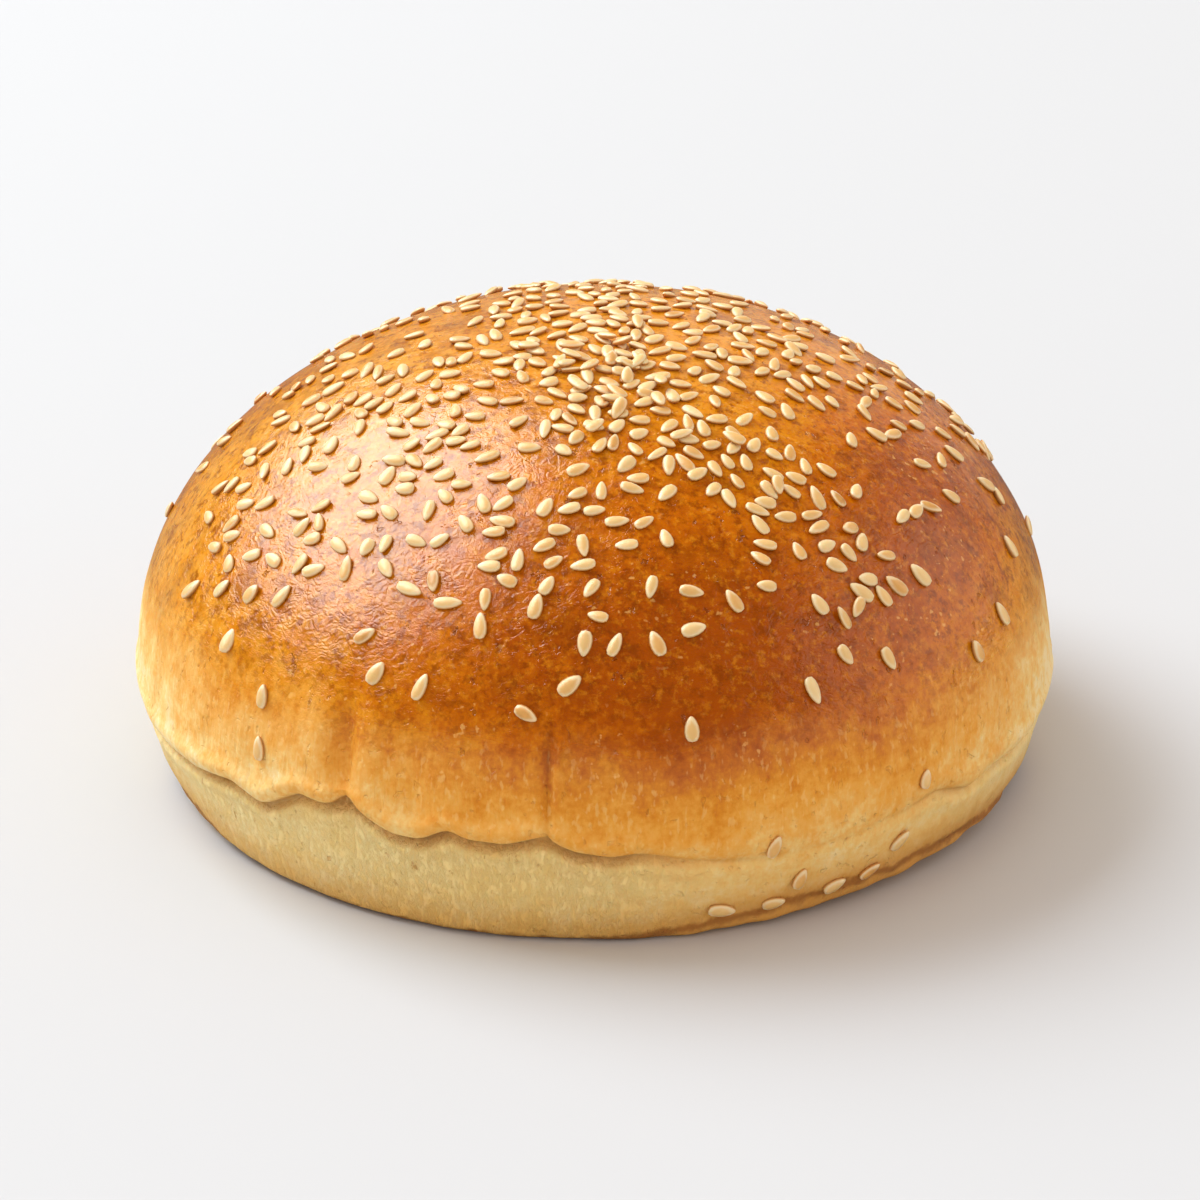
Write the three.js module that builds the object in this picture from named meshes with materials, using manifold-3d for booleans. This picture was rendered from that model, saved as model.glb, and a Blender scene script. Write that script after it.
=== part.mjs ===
// A whole, uncut burger bun with sesame seeds on its crust, as it comes out of the oven.
//
// Millimetres, +Z up. The origin is the centre of the flat underside and -Y is the front.
// The bun is one baked piece. The seeds are pieces of their own: each loose one on the flank,
// where they lie far apart, is its own mesh and lies in a shallow pocket of the crust.

import * as THREE from "three";
import { mergeVertices } from "three/addons/utils/BufferGeometryUtils.js";
import Module from "manifold-3d";

// Bun: a domed top over a short flank that tapers down to a flat underside.
const BUN_DIAMETER = 110; // across the girth, where it is widest
const BUN_HEIGHT = 53.5;
const GIRTH_HEIGHT = 14.5; // of the widest place above the underside
const BASE_DIAMETER = 104; // of the flank's lower end, before the foot is rounded
const FOOT_RADIUS = 1.2; // rounding between the flank and the underside
const DOME_OUTWARD_POWER = 2.1; // 2 and 2 would make the dome a plain ellipse
const DOME_UPWARD_POWER = 1.92;
const FLANK_POWER = 1.1; // 1 would make the flank a straight taper

// Unevenness of risen dough. A ripple is a mean of sine waves, each with its number of waves
// on the way round and its phase in radians.
const CROWN_DRIFT = 0.5; // of the dome's top towards +X
const SWELL = 0.35; // greatest radial swell of the lobes round the bun
const SWELL_RIPPLE = [
  { waves: 2, phase: 0.6 },
  { waves: 3, phase: -1 },
];

// Fold where the dough was tucked under: a wavy groove round the flank.
const FOLD_HEIGHT = 12.5;
const FOLD_WAVE = 1.1; // greatest rise and fall of the groove on its way round
const FOLD_RIPPLE = [
  { waves: 5, phase: 1.2 },
  { waves: 13, phase: 0 },
];
const FOLD_WAVE_REACH = 9; // distance above and below it over which the wave dies out
const FOLD_DEPTH = 0.8;
const FOLD_HALF_WIDTH = 1;

// Sesame seed: a flattened teardrop.
const SEED_LENGTH = 2.9;
const SEED_WIDTH = 1.55;
const SEED_THICKNESS = 1;
const SEED_TAPER = 0.3; // 0 would make both ends alike
const SEED_BEDDING = 0.35; // depth of a seed's underside below the crust
const SEAT_GAP = 0.3; // added on each side of a seed, along its three axes, to make its pocket

// Fineness of the faceted shapes.
const BUN_SEGMENTS = 64;
const DOME_STEPS = 18;
const FLANK_STEPS = 4;
const FOOT_STEPS = 3;
const FOLD_STEPS = 6;
const SEED_SEGMENTS = 8;
const SEED_STEPS = 5;
const SLOPE_STEP = 0.05; // distance between the two points that a slope is taken from

// Loose seeds: azimuth in degrees (0 is the front, 90 is +X), height of the centre, and lean in
// degrees of the pointed tip, clockwise from straight up the crust.
const FRONT_SEEDS = [
  [-63, 29, 25], [-56.5, 31, 30], [-50.5, 32, 35], [-45, 33, 15], [-42, 36, 55], [-37, 37, -15],
  [-51, 27, -5], [-42.5, 23.5, 5], [-42, 18, -5], [-30, 32, 50], [-27, 29, 25], [-21, 28.5, 15],
  [-26, 36.5, 100], [-20, 36, 80], [-15, 34.5, -10], [-8, 36.5, 10], [-1.5, 33.5, 185],
  [2.5, 33.5, 25], [7.5, 33.5, -20], [-3, 30, 50], [-8, 27, 115], [11, 25.5, 0], [13, 37.5, 105],
  [12.5, 34.5, 80], [18.5, 36.5, -25], [30.5, 35, -20], [37.5, 35, -40], [43.5, 34.5, -35],
  [48.5, 34.5, -20], [32, 30, 155], [38, 28.5, 160], [26.5, 27.5, 170], [53, 25.5, -20],
  [61, 27, -10],
];
// Seeds that were pressed into the soft flank and lie low, towards the foot.
const FLANK_SEEDS = [
  [41, 15, 20], [20.5, 12, 15], [38.5, 7.5, 35], [24.5, 6.5, 20], [21.5, 3.5, 75], [15, 3.5, 100],
  [29.5, 4, 70], [34.5, 4.5, 60],
];
// The side that faces away carries them in the same thin scatter.
const BACK_SEEDS = [
  [72, 31, 15], [79, 36, -30], [88, 28, 60], [101, 33, 10], [113, 37, 120], [124, 27, -20],
  [136, 32, 75], [148, 36, 5], [159, 24, 150], [171, 31, 40], [-176, 35, -35], [-163, 28, 95],
  [-150, 33, 20], [-137, 37, -10], [-123, 26, 55], [-108, 32, -5], [-91, 29, 35],
];

const CRUST = new THREE.MeshStandardMaterial({ color: 0xb4661c, roughness: 0.4, metalness: 0 });
const HULL = new THREE.MeshStandardMaterial({ color: 0xe8c489, roughness: 0.55, metalness: 0 });

const wasm = await Module();
wasm.setup();

const GIRTH_RADIUS = BUN_DIAMETER / 2;
const BASE_RADIUS = BASE_DIAMETER / 2;
const DOME_HEIGHT = BUN_HEIGHT - GIRTH_HEIGHT;

// Radius of the even, undisturbed bun at a height.
function radiusAt(height) {
  if (height >= GIRTH_HEIGHT) {
    const climb = (height - GIRTH_HEIGHT) / DOME_HEIGHT;
    return GIRTH_RADIUS * (1 - climb ** DOME_UPWARD_POWER) ** (1 / DOME_OUTWARD_POWER);
  }
  const drop = (GIRTH_HEIGHT - height) / GIRTH_HEIGHT;
  const overhang = (1 - drop ** FLANK_POWER) ** (1 / FLANK_POWER);
  const flank = BASE_RADIUS + (GIRTH_RADIUS - BASE_RADIUS) * overhang;
  const intoFoot = Math.max(0, FOOT_RADIUS - height);
  return flank - FOOT_RADIUS + Math.sqrt(FOOT_RADIUS ** 2 - intoFoot ** 2);
}

// The profile's points from the middle of the underside up to the crown.
function bunProfile() {
  const heights = [];
  for (let i = 0; i < FOOT_STEPS; i++)
    heights.push(FOOT_RADIUS * (1 - Math.cos((i / FOOT_STEPS) * (Math.PI / 2))));
  const foldFrom = FOLD_HEIGHT - 2 * FOLD_HALF_WIDTH;
  const foldTo = FOLD_HEIGHT + 2 * FOLD_HALF_WIDTH;
  for (let i = 0; i < FLANK_STEPS; i++)
    heights.push(THREE.MathUtils.lerp(FOOT_RADIUS, foldFrom, i / FLANK_STEPS));
  for (let i = 0; i < FOLD_STEPS; i++)
    heights.push(THREE.MathUtils.lerp(foldFrom, foldTo, i / FOLD_STEPS));
  const domeFrom = Math.max(foldTo, GIRTH_HEIGHT);
  const start = Math.asin((domeFrom - GIRTH_HEIGHT) / DOME_HEIGHT);
  for (let i = 0; i < DOME_STEPS; i++) {
    const angle = THREE.MathUtils.lerp(start, Math.PI / 2, i / DOME_STEPS);
    heights.push(GIRTH_HEIGHT + DOME_HEIGHT * Math.sin(angle));
  }
  const points = heights.map((height) => new THREE.Vector2(radiusAt(height), height));
  return [new THREE.Vector2(0, 0), ...points, new THREE.Vector2(0, BUN_HEIGHT)];
}

// Height of a ripple at an azimuth, between -1 and 1.
function ripple(sines, azimuth) {
  const sum = sines.reduce((total, { waves, phase }) => total + Math.sin(waves * azimuth + phase), 0);
  return sum / sines.length;
}

// Moves a point of the even bun to where it lies on the risen, folded one.
function knead(point) {
  const azimuth = Math.atan2(point.x, -point.y);
  const radius = Math.hypot(point.x, point.y);
  const height = point.z;
  const fromFold = height - FOLD_HEIGHT;
  const swell = (radius / GIRTH_RADIUS) * SWELL * ripple(SWELL_RIPPLE, azimuth);
  const groove = FOLD_DEPTH * Math.exp(-((fromFold / FOLD_HALF_WIDTH) ** 2));
  const nearFold = Math.exp(-((fromFold / FOLD_WAVE_REACH) ** 2));
  const offTable = Math.min(1, height / (FOLD_HEIGHT / 2)); // the underside stays flat
  const rise = FOLD_WAVE * ripple(FOLD_RIPPLE, azimuth) * nearFold * offTable;
  const drift = CROWN_DRIFT * (height / BUN_HEIGHT) ** 2;
  const reach = radius + swell - groove;
  point.set(reach * Math.sin(azimuth) + drift, -reach * Math.cos(azimuth), height + rise);
  return point;
}

// A closed geometry as a manifold-3d solid, and back.
function toSolid(geometry) {
  const bare = geometry.clone().deleteAttribute("normal").deleteAttribute("uv");
  const merged = mergeVertices(bare);
  return new wasm.Manifold(
    new wasm.Mesh({
      numProp: 3,
      vertProperties: merged.attributes.position.array,
      triVerts: new Uint32Array(merged.index.array),
    }),
  );
}

function toGeometry(solid) {
  const { vertProperties, triVerts } = solid.getMesh();
  const geometry = new THREE.BufferGeometry();
  geometry.setAttribute("position", new THREE.BufferAttribute(vertProperties, 3));
  geometry.setIndex(new THREE.BufferAttribute(triVerts, 1));
  geometry.computeVertexNormals();
  return geometry;
}

// The bun before any seed is pressed into it.
function bunGeometry() {
  const geometry = new THREE.LatheGeometry(bunProfile(), BUN_SEGMENTS).rotateX(Math.PI / 2);
  const positions = geometry.attributes.position;
  const point = new THREE.Vector3();
  for (let i = 0; i < positions.count; i++) {
    knead(point.fromBufferAttribute(positions, i));
    positions.setXYZ(i, point.x, point.y, point.z);
  }
  return geometry;
}

// A seed grown by a margin at both ends of each axis, with its pointed tip along +Y and its flat sides
// facing +Z and -Z. A seed and its pocket have the same shape, so a gap stays all round.
function seedGeometry(margin) {
  const length = SEED_LENGTH + 2 * margin;
  const width = SEED_WIDTH + 2 * margin;
  const thickness = SEED_THICKNESS + 2 * margin;
  const points = [];
  for (let i = 0; i <= SEED_STEPS; i++) {
    const angle = (i / SEED_STEPS) * Math.PI;
    const taper = 1 + SEED_TAPER * Math.cos(angle);
    points.push(new THREE.Vector2((width / 2) * Math.sin(angle) * taper, (-length / 2) * Math.cos(angle)));
  }
  points[0].x = 0;
  points[SEED_STEPS].x = 0;
  return new THREE.LatheGeometry(points, SEED_SEGMENTS).scale(1, 1, thickness / width);
}

// The point of the finished crust at an azimuth, in radians, and a height on the even bun.
function crustPoint(azimuth, height) {
  const radius = radiusAt(height);
  return knead(new THREE.Vector3(radius * Math.sin(azimuth), -radius * Math.cos(azimuth), height));
}

// Lays an object on the crust: +Y along the lean, +Z away from the crust.
function layOnCrust(object, [degrees, height, leanDegrees]) {
  const azimuth = THREE.MathUtils.degToRad(degrees);
  const lean = THREE.MathUtils.degToRad(leanDegrees);
  const turn = SLOPE_STEP / GIRTH_RADIUS;
  const up = crustPoint(azimuth, height + SLOPE_STEP)
    .sub(crustPoint(azimuth, height - SLOPE_STEP))
    .normalize();
  const across = crustPoint(azimuth + turn, height).sub(crustPoint(azimuth - turn, height)).normalize();
  const outward = across.clone().cross(up).normalize();
  const tip = up.multiplyScalar(Math.cos(lean)).addScaledVector(across, Math.sin(lean));
  const aside = tip.clone().cross(outward).normalize();
  tip.crossVectors(outward, aside);
  object.quaternion.setFromRotationMatrix(new THREE.Matrix4().makeBasis(aside, tip, outward));
  object.position
    .copy(crustPoint(azimuth, height))
    .addScaledVector(outward, SEED_THICKNESS / 2 - SEED_BEDDING);
  object.updateMatrix();
}

const burgerBun = new THREE.Group();
let dough = toSolid(bunGeometry());
[...FRONT_SEEDS, ...FLANK_SEEDS, ...BACK_SEEDS].forEach((place, index) => {
  const seed = new THREE.Mesh(seedGeometry(0), HULL);
  seed.name = "sesame_seed_" + String(index + 1).padStart(2, "0");
  layOnCrust(seed, place);
  burgerBun.add(seed);
  const pocket = seedGeometry(SEAT_GAP).applyMatrix4(seed.matrix);
  dough = dough.subtract(toSolid(pocket));
});
const bun = new THREE.Mesh(toGeometry(dough), CRUST);
bun.name = "bun";
burgerBun.add(bun);

export default burgerBun;
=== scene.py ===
# %% [markdown]
# # A sesame burger bun
#
# A burger bun is a ball of soft dough that rises on a flat tray, is brushed with egg and sprinkled
# with sesame before it goes into the oven. The egg turns the dome dark and glossy, the flank near
# the tray stays pale and dull, and the dough that was tucked under shows as a wavy fold round it.
# This lesson shapes the crust, bakes its colour from a few shader sums, and sprinkles the seeds.
#
# The sizes come from a frame: a plain model of the bun and of its loose seeds. We load it
# first and note its box, which gives the bun's width and height.

# %% Load the frame
import math
import random

import bpy
import numpy as np
from mathutils import Matrix, Vector, noise
from mathutils.bvhtree import BVHTree


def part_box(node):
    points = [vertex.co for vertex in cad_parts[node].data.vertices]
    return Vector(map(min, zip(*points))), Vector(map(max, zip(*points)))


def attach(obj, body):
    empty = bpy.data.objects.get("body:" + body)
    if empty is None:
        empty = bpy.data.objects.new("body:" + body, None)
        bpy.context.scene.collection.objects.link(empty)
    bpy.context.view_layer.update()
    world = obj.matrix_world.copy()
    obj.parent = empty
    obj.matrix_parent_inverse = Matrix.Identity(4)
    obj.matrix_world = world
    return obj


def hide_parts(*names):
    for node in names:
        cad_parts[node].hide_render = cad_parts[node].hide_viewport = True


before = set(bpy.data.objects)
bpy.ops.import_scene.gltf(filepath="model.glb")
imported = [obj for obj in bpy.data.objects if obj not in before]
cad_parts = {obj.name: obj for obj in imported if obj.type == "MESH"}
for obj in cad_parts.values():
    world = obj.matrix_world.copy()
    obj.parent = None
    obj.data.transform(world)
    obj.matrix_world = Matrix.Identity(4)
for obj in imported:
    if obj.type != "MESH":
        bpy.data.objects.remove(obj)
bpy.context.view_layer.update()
MM = 0.001

bun_low, bun_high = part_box("bun")
GIRTH_RADIUS = (bun_high.x - bun_low.x) / 2 / MM
BUN_HEIGHT = bun_high.z / MM
LOOSE_NODES = sorted(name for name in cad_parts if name.startswith("sesame_seed"))
print(f"bun {2 * GIRTH_RADIUS:.1f} mm wide, {BUN_HEIGHT:.1f} mm high, {len(LOOSE_NODES)} loose seeds")

# %% [markdown]
# ## Helpers for working as by hand
#
# Operators act on whatever is selected, and the frame leaves its own pieces selected. So each step
# begins with nothing selected but the piece in hand. Two more helpers read and write all vertices
# of a mesh at once as an array of millimetres, which is how the sculpting below moves them. The
# last two are soft curves, a step and a hump, that every push of the dough is made from.


# %% Selection and vertex helpers
def take(piece):
    """Makes one object the only selected and the active one."""
    bpy.ops.object.select_all(action="DESELECT")
    piece.select_set(True)
    bpy.context.view_layer.objects.active = piece


def read_points(piece):
    """The vertices of a piece, in millimetres, one row each."""
    flat = np.empty(len(piece.data.vertices) * 3, np.float32)
    piece.data.vertices.foreach_get("co", flat)
    return flat.reshape(-1, 3).astype(float) / MM


def write_points(piece, points):
    """Moves the vertices of a piece to places in millimetres."""
    piece.data.vertices.foreach_set("co", (points * MM).astype(np.float32).ravel())
    piece.data.update()


def smooth_step(value, start, end):
    """0 before start, 1 after end, and a soft curve between them."""
    share = np.clip((value - start) / (end - start), 0, 1)
    return share * share * (3 - 2 * share)


def hump(value, middle, half_width):
    """1 at the middle, falling to a third at a half width away."""
    return np.exp(-(((value - middle) / half_width) ** 2))


# %% [markdown]
# ## The outline of the bun
#
# Cut a bun in half and its outline is nearly an ellipse over a short flank that tapers to the flat
# underside. A superellipse gives both: its powers are 2 for a plain ellipse and 1 for a straight
# taper. The outline is only a row of points here. They lie close together round the fold, where
# the shape will be fine, and further apart on the underside, which nobody sees.

# %% Outline of the even bun
GIRTH_HEIGHT = 14.5
BASE_RADIUS = 52
FOOT_RADIUS = 1.2
DOME_OUTWARD_POWER = 2.1
DOME_UPWARD_POWER = 1.92
FLANK_POWER = 1.1
FOLD_HEIGHT = 12.5

DOME_ROWS = 124
FOLD_ROWS = 34
FLANK_ROWS = 18
FOOT_ROWS = 7
UNDERSIDE_ROWS = 9
FOLD_ZONE = 3.2  # height above and below the fold that gets close rows


def radius_at(height):
    """Radius of the even bun at a height."""
    if height >= GIRTH_HEIGHT:
        climb = min(1, (height - GIRTH_HEIGHT) / (BUN_HEIGHT - GIRTH_HEIGHT))
        return GIRTH_RADIUS * (1 - climb**DOME_UPWARD_POWER) ** (1 / DOME_OUTWARD_POWER)
    drop = (GIRTH_HEIGHT - height) / GIRTH_HEIGHT
    overhang = (1 - drop**FLANK_POWER) ** (1 / FLANK_POWER)
    flank = BASE_RADIUS + (GIRTH_RADIUS - BASE_RADIUS) * overhang
    into_foot = max(0, FOOT_RADIUS - height)
    return flank - FOOT_RADIUS + math.sqrt(FOOT_RADIUS**2 - into_foot**2)


def outline_points():
    """Radius and height of each row, from the middle of the underside up to the crown."""
    flat_radius = radius_at(0)
    points = [(flat_radius * i / UNDERSIDE_ROWS, 0) for i in range(UNDERSIDE_ROWS)]
    heights = [FOOT_RADIUS * (1 - math.cos(i / FOOT_ROWS * math.pi / 2)) for i in range(FOOT_ROWS)]
    fold_from, fold_to = FOLD_HEIGHT - FOLD_ZONE, FOLD_HEIGHT + FOLD_ZONE
    heights += list(np.linspace(FOOT_RADIUS, fold_from, FLANK_ROWS, endpoint=False))
    heights += list(np.linspace(fold_from, fold_to, FOLD_ROWS, endpoint=False))
    dome = BUN_HEIGHT - GIRTH_HEIGHT
    start = math.asin((fold_to - GIRTH_HEIGHT) / dome)
    angles = np.linspace(start, math.pi / 2, DOME_ROWS + 1)
    heights += [GIRTH_HEIGHT + dome * math.sin(angle) for angle in angles]
    points += [(radius_at(height), height) for height in heights]
    points[-1] = (0, BUN_HEIGHT)
    return points


outline = outline_points()
print(f"outline of {len(outline)} points")

# %% [markdown]
# ## Spinning the outline into a crust
#
# A bun is round, so its outline spun once round the upright axis gives the whole body, as on a
# potter's wheel. The spin leaves a seam where it meets itself and a pile of points at each pole.
# Merging the doubles closes both, and recalculated normals make every face look outwards.

# %% Spin the crust
CRUST_SEGMENTS = 480
MERGE_DISTANCE = 0.0008 * MM

crust_mesh = bpy.data.meshes.new("crust")
crust_mesh.from_pydata(
    [(radius * MM, 0, height * MM) for radius, height in outline],
    [(i, i + 1) for i in range(len(outline) - 1)],
    [],
)
crust = bpy.data.objects.new("crust", crust_mesh)
bpy.context.scene.collection.objects.link(crust)
take(crust)
bpy.ops.object.mode_set(mode="EDIT")
bpy.ops.mesh.select_all(action="SELECT")
bpy.ops.mesh.spin(steps=CRUST_SEGMENTS, angle=2 * math.pi, center=(0, 0, 0), axis=(0, 0, 1))
bpy.ops.mesh.select_all(action="SELECT")
bpy.ops.mesh.remove_doubles(threshold=MERGE_DISTANCE)
bpy.ops.mesh.normals_make_consistent(inside=False)
bpy.ops.object.mode_set(mode="OBJECT")
bpy.ops.object.shade_smooth()
print(f"crust spun: {len(crust.data.vertices)} points, {len(crust.data.polygons)} faces")

# %% [markdown]
# ## Sculpting the risen dough
#
# The wheel leaves the bun too perfect. Real dough was tucked under by hand, so a wavy fold runs
# round the flank, deep on one side and nearly closed on another. A sculptor would push it in with
# a brush; here each push is one term of a sum over all vertices, so it can be read.
#
# Angles go round the bun in degrees: 0 is the front and 90 the right-hand side. Each list below
# holds an angle and a value: the fold's height, and how strongly it shows.

# %% Where the fold runs
FOLD_LINE = [
    (-165, 12.5), (-145, 10.8), (-125, 13), (-105, 11), (-85, 11.5), (-68, 10), (-55, 10.5),
    (-47, 11.8), (-42, 10.7), (-36, 14), (-32, 13.7), (-29, 15.2), (-26.5, 13.6), (-23.5, 12.2),
    (-20, 12), (-16.5, 13.8), (-14.4, 12.8), (-10, 12.7), (-5.5, 14), (-2.5, 12.2), (2, 11.6),
    (5, 12.1), (11, 11), (18, 10.3), (30, 10.5), (44, 12), (50, 10.2), (54, 11), (62, 10.5),
    (80, 11.5), (100, 10.5), (118, 12.5), (135, 11), (155, 13), (175, 11),
]
FOLD_STRENGTH = [
    (-180, 0.65), (-90, 0.6), (-62, 0.75), (-45, 1), (-37, 0.8), (-30, 1), (2, 0.9), (8, 0.6),
    (15, 0.25), (21, 0.05), (38, 0.08), (46, 0.45), (64, 0.55), (90, 0.7),
]
LINE_SOFTNESS = 0.9  # degrees over which the chosen points are rounded off
STRENGTH_SOFTNESS = 2 * LINE_SOFTNESS
FOOT_SOFTNESS = 3 * LINE_SOFTNESS
FINE_TURN = 0.25  # degrees between the readings of a curve
SOFT_STEPS = 40  # readings on each side that are averaged


def round_the_bun(stops, angles, softness):
    """Reads a list of (angle, value) stops as a smooth closed curve."""
    fine = np.arange(-180, 180, FINE_TURN)
    at, value = np.array(sorted(stops)).T
    line = np.interp(fine, at, value, period=360)
    spread = np.arange(-SOFT_STEPS, SOFT_STEPS + 1) * FINE_TURN
    weight = np.exp(-((spread / softness) ** 2))
    padded = np.concatenate([line[-SOFT_STEPS:], line, line[:SOFT_STEPS]])
    softened = np.convolve(padded, weight / weight.sum(), mode="valid")
    return np.interp(angles, fine, softened, period=360)


# %% [markdown]
# Above the fold the skin swells and hangs over a little, like a lip, and under it lies a groove.
# Each of these is a hump over the height above the fold, given as its middle and half width. The
# foot curls up off the tray in places, and where it curls its edge is lumpy.

# %% Push in the fold, the lip and the foot
FOLD_SETBACK = 0.5  # how far the tucked dough lies behind the skin above it
FOLD_DEPTH = 1.2
FOLD_LIP = 0.7
FOLD_SWELL = 0.35  # how far the tucked dough swells out again under the groove
FOLD_HANG = 0.2  # how far the lip hangs over the groove
GROOVE_HUMP, LIP_HUMP, SWELL_HUMP, HANG_HUMP = (-0.35, 0.7), (1.5, 1.2), (-1.8, 1.2), (0.55, 0.5)
UNDER_LIP = (-0.6, 0.2)
SETBACK_FADE = 5  # depth below the fold at which the set-back has mostly faded
WAVE_REACH = 8
CALM_HEIGHT = 6  # the tray keeps the dough even up to here
FOOT_LIFT = [
    (-180, 0.4), (-100, 0.8), (-70, 1.2), (-45, 0.3), (-20, 0), (10, 0), (30, 0.8), (60, 1.8),
    (90, 0.8),
]
LIFTED_RIM = 9  # width of the underside's edge that curls up with the foot
FOOT_LUMPS = [(-180, 0.15), (-60, 0.2), (-10, 0.2), (10, 0.5), (70, 0.8), (100, 0.3)]
LUMP_SIZE = 3.5  # millimetres along the foot


def fold_push(above_fold, strength, off_tray):
    """Outward and upward push of the fold at a height above it."""
    under = 1 - smooth_step(above_fold, *UNDER_LIP)
    setback = FOLD_SETBACK * under * np.exp(np.minimum(above_fold, 0) / SETBACK_FADE) * off_tray
    groove = FOLD_DEPTH * hump(above_fold, *GROOVE_HUMP)
    lip = FOLD_LIP * hump(above_fold, *LIP_HUMP)
    swell = FOLD_SWELL * hump(above_fold, *SWELL_HUMP)
    hang = FOLD_HANG * hump(above_fold, *HANG_HUMP)
    return (lip + swell - groove - setback) * strength, -hang * strength


def angles_of(points):
    """The angle round the bun of each point, in degrees."""
    return np.degrees(np.arctan2(points[:, 0], -points[:, 1]))


def knead(points):
    """Moves the points of the even bun to where they lie on the risen one."""
    x, y, height = points.T
    angle = angles_of(points)
    radius = np.hypot(x, y)
    above_fold = height - FOLD_HEIGHT
    off_tray = smooth_step(height, 0, CALM_HEIGHT)

    strength = round_the_bun(FOLD_STRENGTH, angle, STRENGTH_SOFTNESS)
    outward, upward = fold_push(above_fold, strength, off_tray)
    line = round_the_bun(FOLD_LINE, angle, LINE_SOFTNESS) - FOLD_HEIGHT
    upward += line * hump(above_fold, 0, WAVE_REACH) * off_tray

    rim = smooth_step(radius, BASE_RADIUS - LIFTED_RIM, BASE_RADIUS)
    upward += round_the_bun(FOOT_LIFT, angle, FOOT_SOFTNESS) * rim * (1 - off_tray)
    turn = np.radians(angle)
    lumps = np.array([noise.noise(Vector(point) / LUMP_SIZE) for point in points])
    lumps *= round_the_bun(FOOT_LUMPS, angle, FOOT_SOFTNESS) * rim * (1 - off_tray)
    reach = np.maximum(radius + outward + lumps, 0)
    return np.stack([reach * np.sin(turn), -reach * np.cos(turn), height + upward], axis=1)


def store(piece, name, values):
    """Keeps one number for each vertex, which a shader can read by name."""
    piece.data.attributes.new(name, "FLOAT", "POINT")
    piece.data.attributes[name].data.foreach_set("value", np.asarray(values, np.float32))


even_points = read_points(crust)
crust_points = knead(even_points)
write_points(crust, crust_points)
even_angles = angles_of(even_points)
store(crust, "above_fold", even_points[:, 2] - FOLD_HEIGHT)
store(crust, "fold_strength", round_the_bun(FOLD_STRENGTH, even_angles, STRENGTH_SOFTNESS))
print(f"deepest push of the fold: {np.abs(crust_points - even_points).max():.1f} mm")

# %% [markdown]
# ## Dents, creases and broad swells
#
# A few dents are listed, each with its angle, height, half widths along and up the skin, and
# depth; a negative depth is a bulge. On top of them the dome swells and sinks a little in
# broad, soft waves, and its crown drifts to one side. The highlights of a glossy crust show even a
# tenth of a millimetre of this, so the finer waves matter as much as the big ones.

# %% Press the dents
DENTS = [
    (-29.5, 20, 1.4, 6, 1.1), (-33.5, 21, 2.2, 6, -0.25), (-26, 20, 2, 5, -0.2),
    (-5.2, 20, 0.5, 6, 0.8), (-4, 20, 0.7, 6, -0.4), (-66, 18, 1.8, 5, 0.5),
    (-72, 20, 2, 6, 0.4), (-59, 19, 1.6, 4, 0.3), (-51.5, 18, 1.2, 4, 0.2),
    (-43.5, 16, 1, 3, 0.25), (-21, 17, 1.2, 3, 0.2), (-12.5, 16.5, 1.2, 3, 0.15),
    (48, 17, 1.4, 4, 0.25), (57, 16, 1.6, 4, 0.3), (84, 20, 1.6, 6, 0.4), (103, 18, 1.2, 5, 0.3),
    (131, 21, 1.8, 6, 0.45), (158, 18, 1.4, 4, 0.3), (-172, 20, 1.6, 6, 0.4),
    (-148, 17, 1.2, 4, 0.3), (-121, 20, 1.8, 6, 0.45), (-96, 18, 1.3, 5, 0.3),
    (-78, 35, 38, 13, -0.25),
]
CROWN_DRIFT = 0.5
SWELLS = [(30, 0.35), (13, 0.14), (5.5, 0.05)]  # size and height of the waves, broad ones first
SWELL_SEED = Vector((3.7, 9.1, 1.3))
ON_TRAY = 0.5  # dents and swells begin this high, since the tray keeps the underside flat


def angle_between(angle, other):
    """Smallest turn from one angle to another."""
    return (angle - other + 180) % 360 - 180


def pressed(points):
    """Depth of all dents together at each point."""
    angle = angles_of(points)
    depth = np.zeros(len(points))
    for at, height, half_turn, half_height, deep in DENTS:
        along = hump(angle_between(angle, at), 0, half_turn)
        depth += deep * along * hump(points[:, 2], height, half_height)
    return depth


def swell_at(point):
    """Height of the soft waves at one point, from a few sizes of noise."""
    spot = Vector(point)
    return sum(height * noise.noise(spot / size + SWELL_SEED) for size, height in SWELLS)


def outward_normals(piece):
    """The smooth normal of each vertex."""
    flat = np.empty(len(piece.data.vertices) * 3, np.float32)
    piece.data.vertices.foreach_get("normal", flat)
    return flat.reshape(-1, 3).astype(float)


normals = outward_normals(crust)
swells = np.array([swell_at(point) for point in crust_points])
free = smooth_step(crust_points[:, 2], ON_TRAY, CALM_HEIGHT)
dents = pressed(crust_points)
store(crust, "pressed_in", dents)
crust_points += normals * ((swells - dents) * free)[:, None]
crust_points[:, 0] += CROWN_DRIFT * smooth_step(crust_points[:, 2], GIRTH_HEIGHT, BUN_HEIGHT)
crust_points[:, 2] -= crust_points[:, 2].min()
write_points(crust, crust_points)
print(f"swells from {swells.min():.2f} to {swells.max():.2f} mm")

# %% [markdown]
# ## The seed
#
# A sesame seed is a flat teardrop, round at one end and pointed at the other, with a thin pale rim
# round a darker face. We model one from a sphere and copy it, so it has only a few dozen faces.
# Two numbers are stored on its points for the shader: how far a point lies above or below the
# rim, and later a tone that each copy gets for itself.

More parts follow.
